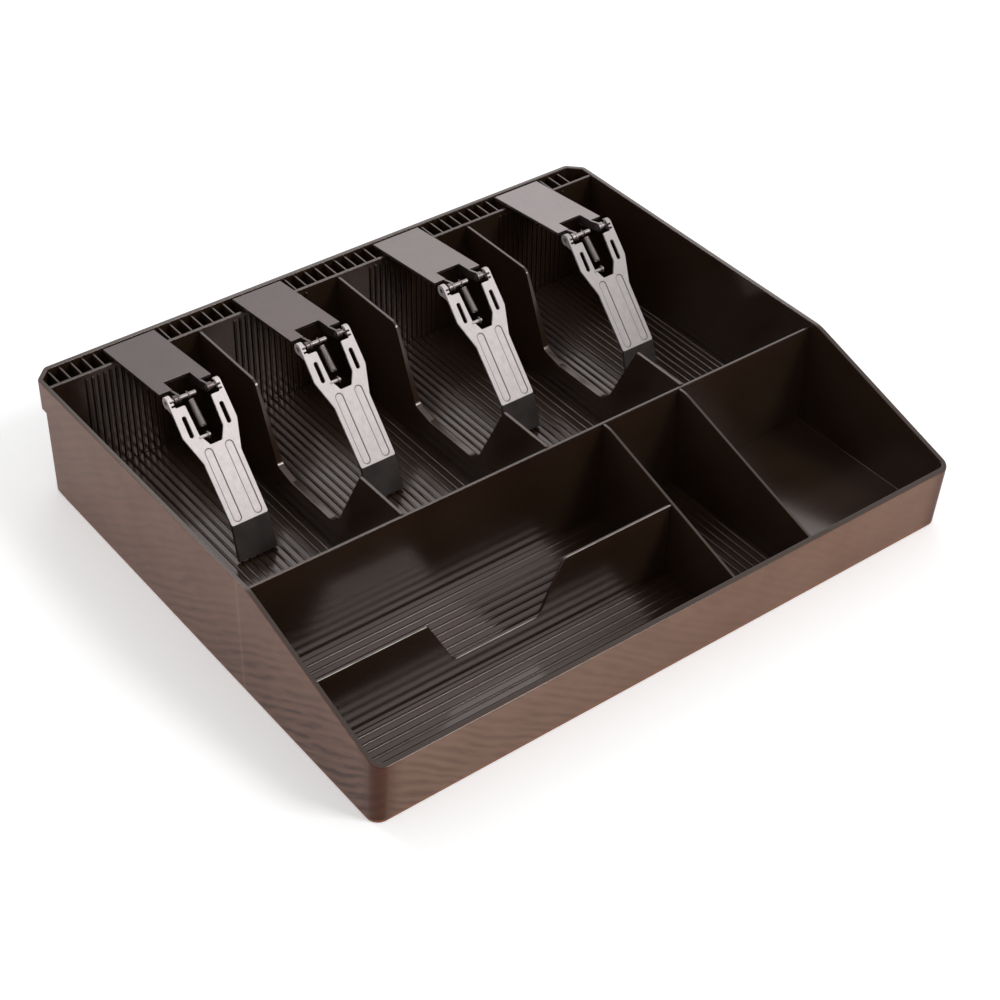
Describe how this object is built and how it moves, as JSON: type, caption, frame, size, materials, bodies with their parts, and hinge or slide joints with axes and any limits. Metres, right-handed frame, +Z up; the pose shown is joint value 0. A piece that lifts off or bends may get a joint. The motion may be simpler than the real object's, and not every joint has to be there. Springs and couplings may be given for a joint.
{
  "type": "cash tray",
  "caption": "Cash drawer tray with note bays under sprung clips, coin compartments in front and a ribbed rail behind.",
  "frame": {"origin": "middle of the footprint, on the plane that the tray stands on", "axes": "+X to the right along the front wall, +Y from the front wall to the rear lip, +Z up"},
  "size_m": [0.33, 0.285, 0.072],
  "materials": {
    "shell": null,
    "inside": "gloss near-black",
    "bracket": "satin mid grey",
    "arm": "satin",
    "foot": "matt charcoal",
    "spring": "drawn wire"
  },
  "bodies": {
    "tray": {"tray_shell": "shell", "bay_rear_wall": "inside", "rail_ribs": "inside", "bill_divider_1": "inside", "bill_divider_2": "inside", "bill_divider_3": "inside", "cross_wall": "inside", "front_divider_left": "inside", "front_divider_right": "inside", "coin_divider": "inside", "bay_floor_ribs": "inside", "bay_wall_ribs": "inside", "coin_floor_ribs": "inside", "narrow_floor_ribs": "inside", "clip_bracket_1": "bracket", "clip_hinge_pins_1": "arm", "clip_bracket_2": "bracket", "clip_hinge_pins_2": "arm", "clip_bracket_3": "bracket", "clip_hinge_pins_3": "arm", "clip_bracket_4": "bracket", "clip_hinge_pins_4": "arm"},
    "clip_1": {"clip_arm_1": "arm", "clip_foot_1": "foot", "clip_spring_1": "spring"},
    "clip_2": {"clip_arm_2": "arm", "clip_foot_2": "foot", "clip_spring_2": "spring"},
    "clip_3": {"clip_arm_3": "arm", "clip_foot_3": "foot", "clip_spring_3": "spring"},
    "clip_4": {"clip_arm_4": "arm", "clip_foot_4": "foot", "clip_spring_4": "spring"}
  },
  "joints": [
    {"name": "clip_lift_1", "type": "hinge", "parent": "tray", "child": "clip_1", "pos_m": [-0.11489, 0.0775, 0.069], "axis": [-1, 0, 0], "range_deg": [0, 115], "stiffness_Nm_per_rad": 0.02, "springref_deg": -85.94},
    {"name": "clip_lift_2", "type": "hinge", "parent": "tray", "child": "clip_2", "pos_m": [-0.04272, 0.0775, 0.069], "axis": [-1, 0, 0], "range_deg": [0, 115], "stiffness_Nm_per_rad": 0.02, "springref_deg": -85.94},
    {"name": "clip_lift_3", "type": "hinge", "parent": "tray", "child": "clip_3", "pos_m": [0.04149, 0.0775, 0.069], "axis": [-1, 0, 0], "range_deg": [0, 115], "stiffness_Nm_per_rad": 0.02, "springref_deg": -85.94},
    {"name": "clip_lift_4", "type": "hinge", "parent": "tray", "child": "clip_4", "pos_m": [0.11969, 0.0775, 0.069], "axis": [-1, 0, 0], "range_deg": [0, 115], "stiffness_Nm_per_rad": 0.02, "springref_deg": -85.94}
  ]
}
